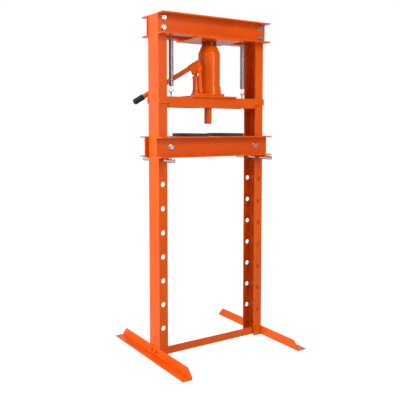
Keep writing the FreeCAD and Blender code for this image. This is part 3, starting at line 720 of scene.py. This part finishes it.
def weld_beads():
    """Short beads under the seat plate's ends, and beads where the thrust plate meets the head beams."""
    seat_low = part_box("seat_plate")[0]
    plate_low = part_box("crosshead_plate_front")[0]
    thrust_low, thrust_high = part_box("thrust_plate")
    seat_inset = 12 * MM
    seat_length = 60 * MM
    thrust_inner = 46 * MM
    thrust_share = 0.97
    reach = -seat_low.x - seat_inset
    for end, sign in (("front", 1), ("rear", -1)):
        back = plate_low.y * sign
        for side, across in (("left", -1), ("right", 1)):
            stitch = [(across * far, back, seat_low.z) for far in (reach, reach - seat_length)]
            weld_bead(f"seat_weld_{end}_{side}", *stitch, "crosshead", SEAT_WELD)
            edge = thrust_low.x if side == "left" else thrust_high.x
            inner = thrust_inner * -sign
            outer = thrust_low.y * sign * thrust_share
            beam = [(edge, outer, thrust_high.z), (edge, inner, thrust_high.z)]
            weld_bead(f"thrust_weld_{end}_{side}", *beam, "frame", THRUST_WELD)


# ---------------------------------------------------------------- studio

FLOOR_HALF = 30.0
FLOOR_GLOW = 0.5
SKY_FRONT = 0.15
SKY_BACK = 0.85
FRONT_POWER = 47
LEFT_POWER = 130
TOP_POWER = 58
STRIP_POWER = 22
LEFT_STRIP_POWER = STRIP_POWER / 3
AIM_HEIGHT = 0.75
FLOOR_DROP = 0.2 * MM


def studio():
    """A wide white floor under a white sky, with three soft lights and two narrow ones.

    The narrow ones draw the two bright lines down the jack's tank.
    """
    mesh = bpy.data.meshes.new("studio_floor")
    square = ((-1, -1), (1, -1), (1, 1), (-1, 1))
    corners = [(x * FLOOR_HALF, y * FLOOR_HALF, -FLOOR_DROP) for x, y in square]
    mesh.from_pydata(corners, [], [(0, 1, 2, 3)])
    floor = bpy.data.objects.new("studio_floor", mesh)
    scene.collection.objects.link(floor)
    mesh.materials.append(floor_material())

    scene.world = studio_world()
    aim_light("front_light", azimuth=-4, elevation=34, distance=3.6, size=(1.0, 1.0), power=FRONT_POWER)
    aim_light("left_light", azimuth=89, elevation=7, distance=4.0, size=(0.45, 0.45), power=LEFT_POWER)
    aim_light("top_light", azimuth=20, elevation=80, distance=4.2, size=(2.6, 2.6), power=TOP_POWER)
    aim_light("right_strip", azimuth=-14, elevation=14, distance=3.0, size=(0.16, 1.3), power=STRIP_POWER)
    aim_light("left_strip", azimuth=68, elevation=12, distance=3.0, size=(0.12, 1.3), power=LEFT_STRIP_POWER)
    scene.view_settings.view_transform = "Standard"


def studio_world():
    """White wherever it is seen. As a light it is bright behind the press and dim in front."""
    world = bpy.data.worlds.new("studio_world")
    world.use_nodes = True
    tree = world.node_tree
    sky = tree.nodes["Background"]
    sky.inputs["Color"].default_value = (1, 1, 1, 1)
    direction = tree.nodes.new("ShaderNodeTexCoord").outputs["Generated"]
    parts = tree.nodes.new("ShaderNodeSeparateXYZ")
    tree.links.new(direction, parts.inputs[0])
    glow = tree.nodes.new("ShaderNodeMapRange")
    glow.inputs["From Min"].default_value = -0.5
    glow.inputs["From Max"].default_value = 0.8
    glow.inputs["To Min"].default_value = SKY_FRONT
    glow.inputs["To Max"].default_value = SKY_BACK
    tree.links.new(parts.outputs["Y"], glow.inputs["Value"])
    seen = tree.nodes.new("ShaderNodeLightPath").outputs["Is Camera Ray"]
    strength = tree.nodes.new("ShaderNodeMapRange")
    strength.inputs["To Max"].default_value = 1.0
    tree.links.new(seen, strength.inputs["Value"])
    tree.links.new(glow.outputs["Result"], strength.inputs["To Min"])
    tree.links.new(strength.outputs["Result"], sky.inputs["Strength"])
    return world


def floor_material():
    """Seen as plain white, by its own light. It lights the press from below more dimly than that."""
    white = bpy.data.materials.new("studio_white")
    white.use_nodes = True
    tree = white.node_tree
    surface = tree.nodes["Principled BSDF"]
    surface.inputs["Base Color"].default_value = (0.12, 0.12, 0.12, 1)
    surface.inputs["Specular IOR Level"].default_value = 0.0
    surface.inputs["Emission Color"].default_value = (1, 1, 1, 1)
    seen = tree.nodes.new("ShaderNodeLightPath").outputs["Is Camera Ray"]
    strength = tree.nodes.new("ShaderNodeMapRange")
    strength.inputs["To Min"].default_value = FLOOR_GLOW
    strength.inputs["To Max"].default_value = 1.0
    tree.links.new(seen, strength.inputs["Value"])
    tree.links.new(strength.outputs["Result"], surface.inputs["Emission Strength"])
    return white


def aim_light(name, azimuth, elevation, distance, size, power):
    """A rectangular light aimed at the press's middle. Azimuth 0 is in front and 90 to the left."""
    turn = math.radians(azimuth)
    rise = math.radians(elevation)
    target = Vector((0, 0, AIM_HEIGHT))
    away = Vector((-math.sin(turn) * math.cos(rise), -math.cos(turn) * math.cos(rise), math.sin(rise)))
    lamp = bpy.data.lights.new(name, "AREA")
    lamp.shape = "RECTANGLE"
    lamp.size = size[0]
    lamp.size_y = size[1]
    lamp.energy = power
    holder = bpy.data.objects.new(name, lamp)
    holder.location = target + away * distance
    holder.rotation_euler = (-away).to_track_quat("-Z", "Y").to_euler()
    scene.collection.objects.link(holder)


def camera():
    """The camera: a little above the middle of the press's height, in front and to its left."""
    data = bpy.data.cameras.new("camera")
    data.lens = 53.4
    data.sensor_width = 36
    data.shift_y = -0.0694
    data.clip_end = 60
    eye = bpy.data.objects.new("camera", data)
    eye.location = (-1.3491, -2.0207, 0.9028)
    yaw = math.radians(32.964)
    pitch = math.radians(-4.379)
    look = Vector((math.sin(yaw) * math.cos(pitch), math.cos(yaw) * math.cos(pitch), math.sin(pitch)))
    eye.rotation_euler = look.to_track_quat("-Z", "Y").to_euler()
    scene.collection.objects.link(eye)
    scene.camera = eye


dress_frame()
bolts()
springs()
collar()
tank_details()
pump_cylinder()
valve()
grip()
link_pin_ends()
weld_beads()
studio()
camera()
